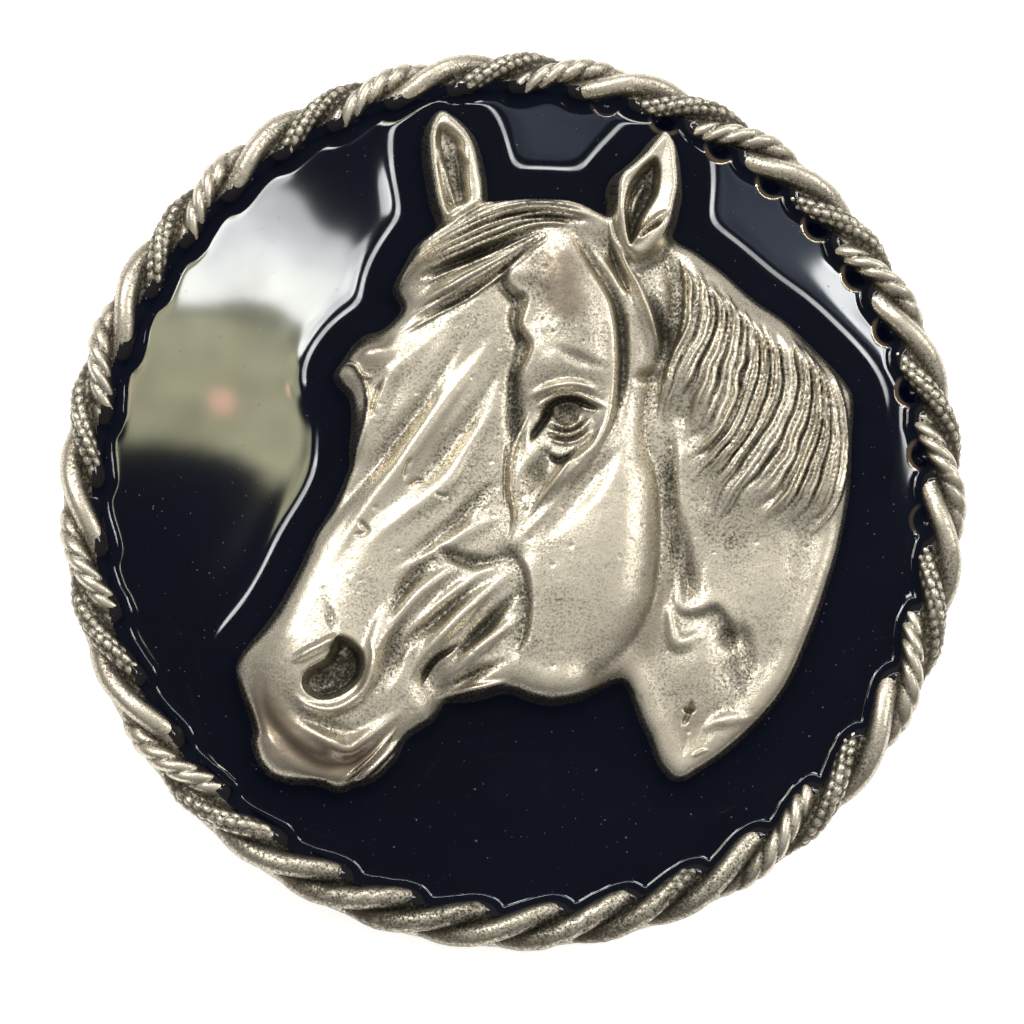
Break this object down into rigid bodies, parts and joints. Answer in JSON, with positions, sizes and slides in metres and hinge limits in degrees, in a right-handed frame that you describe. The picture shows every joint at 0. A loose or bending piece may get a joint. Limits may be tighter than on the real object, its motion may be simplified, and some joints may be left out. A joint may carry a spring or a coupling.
{
  "type": "horse head medallion",
  "caption": "Round cast medallion with a rope border, a horse's head in relief and a field of dark poured enamel.",
  "frame": {"origin": "middle of the flat back, the plane the medallion lies on", "axes": "+Z out of the face, +Y towards the top of the picture (the ears), +X to the viewer's right"},
  "size_m": [0.0638, 0.0638, 0.0077],
  "materials": {
    "antiqued_metal": "satin",
    "navy_enamel": "polished"
  },
  "bodies": {
    "root": {"casting": "antiqued_metal", "enamel_fill": "navy_enamel"}
  },
  "joints": []
}
